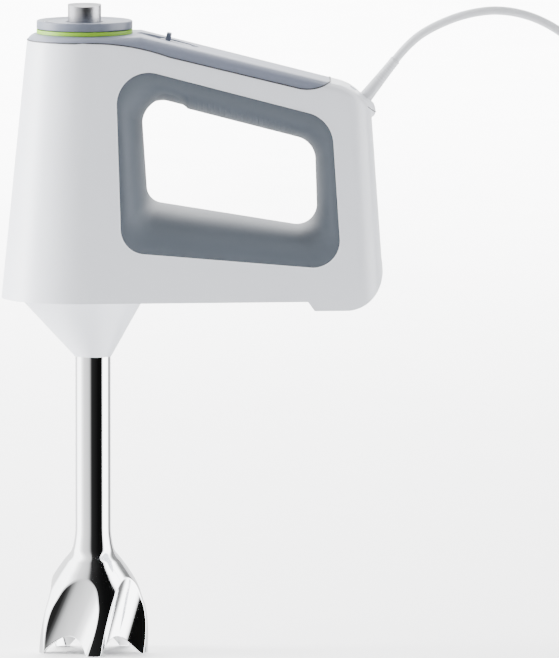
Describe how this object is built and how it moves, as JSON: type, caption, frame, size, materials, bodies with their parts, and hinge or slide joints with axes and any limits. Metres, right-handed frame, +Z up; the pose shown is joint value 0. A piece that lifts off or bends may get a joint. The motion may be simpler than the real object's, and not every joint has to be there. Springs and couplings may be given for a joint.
{
  "type": "immersion blender",
  "caption": "Loop-handled electric mixer body with top speed dial standing on a clip-on blending shaft that ends in a fluted bell, with a mains cord.",
  "frame": {"origin": "shaft axis at the bell's rim plane", "axes": "+Z up along the blending shaft, +X towards the handle and cord, +Y across the handle"},
  "size_m": [0.45, 0.15, 0.3898],
  "materials": {
    "white_plastic": "smooth satin white housing plastic",
    "grey_cover": "fine-textured soft grey plastic",
    "grey_dial": "fine-textured grey plastic",
    "soft_grip": "soft matt blue-grey elastomer",
    "accent_green": "bright green accent plastic",
    "polished_steel": "polished stainless steel",
    "brushed_button": "spun metal button",
    "blade_steel": "ground stainless steel",
    "machined_steel": "turned steel",
    "lamination": "varnished electrical sheet",
    "copper": "enamelled copper",
    "brass": "brass",
    "bronze": "sintered bronze",
    "carbon": "pressed carbon",
    "nylon": "natural nylon",
    "dark_plastic": "dark technical plastic",
    "board": "green circuit board",
    "aluminium": "extruded aluminium",
    "seal_rubber": "black seal rubber",
    "cord_grey": "pale grey flexible cord sheath",
    "pin_metal": "nickel-plated brass pins"
  },
  "bodies": {
    "blender_attachment": {"adapter_cone": "white_plastic", "coupling_plate": "dark_plastic", "shaft_tube": "polished_steel", "tube_nut": "machined_steel", "bell_guard": "polished_steel", "lower_bush": "bronze", "upper_bush": "bronze", "lip_seal": "seal_rubber"},
    "blade_drive": {"blade_shaft": "machined_steel", "male_coupling": "nylon", "blade_hub": "dark_plastic", "blade": "blade_steel", "blade_nut": "blade_steel"},
    "motor_body": {"left_shell": "white_plastic", "right_shell": "white_plastic", "top_cover": "grey_cover", "grip_liner": "soft_grip", "casing_screws": "machined_steel", "base_plate": "white_plastic", "beater_bushes": "bronze", "gearbox_tray": "dark_plastic", "gearbox_cover": "dark_plastic", "stator_core": "lamination", "field_coils": "copper", "motor_brackets": "aluminium", "motor_bearings": "machined_steel", "motor_bolts": "machined_steel", "carbon_brushes": "carbon", "brush_holders": "brass", "brush_springs": "machined_steel", "accent_ring": "accent_green", "switch_body": "dark_plastic", "control_board": "board", "heat_sink": "aluminium", "speed_control": "dark_plastic", "swivel_seat": "white_plastic", "cord_clamp": "dark_plastic", "cord_tube": "cord_grey", "cord_coil": "cord_grey", "cord_lead": "cord_grey", "plug_body": "cord_grey", "plug_pins": "pin_metal", "eject_spring": "machined_steel"},
    "rotor": {"motor_shaft": "machined_steel", "pinion": "bronze", "drive_coupling": "nylon", "cooling_fan": "nylon", "armature_core": "lamination", "armature_windings": "copper", "commutator": "copper"},
    "beater_drive_front": {"beater_gear_front": "nylon", "beater_spindle_front": "machined_steel"},
    "beater_drive_back": {"beater_gear_back": "nylon", "beater_spindle_back": "machined_steel"},
    "dial": {"speed_dial": "grey_dial"},
    "ejector": {"eject_button": "brushed_button", "ejector_frame": "nylon"},
    "slide": {"slide_switch": "grey_dial"},
    "swivel": {"cord_swivel": "white_plastic", "strain_relief": "cord_grey"}
  },
  "joints": [
    {"name": "lift_off", "type": "slide", "parent": "blender_attachment", "child": "motor_body", "axis": [0, 0, 1], "range_m": [0, 0.045]},
    {"name": "motor_spin", "type": "hinge", "parent": "motor_body", "child": "rotor", "pos_m": [0, 0, 0.29], "axis": [0, 0, 1], "continuous": true},
    {"name": "blade_spin", "type": "hinge", "parent": "blender_attachment", "child": "blade_drive", "pos_m": [0, 0, 0.1], "axis": [0, 0, 1], "continuous": true},
    {"name": "beater_front_spin", "type": "hinge", "parent": "motor_body", "child": "beater_drive_front", "pos_m": [-0.01194, 0.018, 0.23], "axis": [0, 0, 1], "continuous": true},
    {"name": "beater_back_spin", "type": "hinge", "parent": "motor_body", "child": "beater_drive_back", "pos_m": [-0.01194, -0.018, 0.23], "axis": [0, 0, 1], "continuous": true},
    {"name": "dial_turn", "type": "hinge", "parent": "motor_body", "child": "dial", "pos_m": [-0.0049, 0, 0.3775], "axis": [0, 0, 1], "range_deg": [0, 150]},
    {"name": "eject_press", "type": "slide", "parent": "motor_body", "child": "ejector", "axis": [0, 0, -1], "range_m": [0, 0.008], "stiffness_N_per_m": 400, "springref_m": -0.004, "deforming": ["eject_spring"]},
    {"name": "switch_slide", "type": "slide", "parent": "motor_body", "child": "slide", "axis": [-0.9708, 0, 0.2397], "range_m": [0, 0.005]},
    {"name": "cord_turn", "type": "hinge", "parent": "motor_body", "child": "swivel", "pos_m": [0.1608, 0, 0.3305], "axis": [0.6225, 0, 0.7826], "range_deg": [-90, 90]}
  ],
  "couplings": [
    {"joint": "blade_spin", "follows": "motor_spin", "ratio": 1},
    {"joint": "beater_front_spin", "follows": "motor_spin", "ratio": -0.2},
    {"joint": "beater_back_spin", "follows": "motor_spin", "ratio": 0.2}
  ]
}
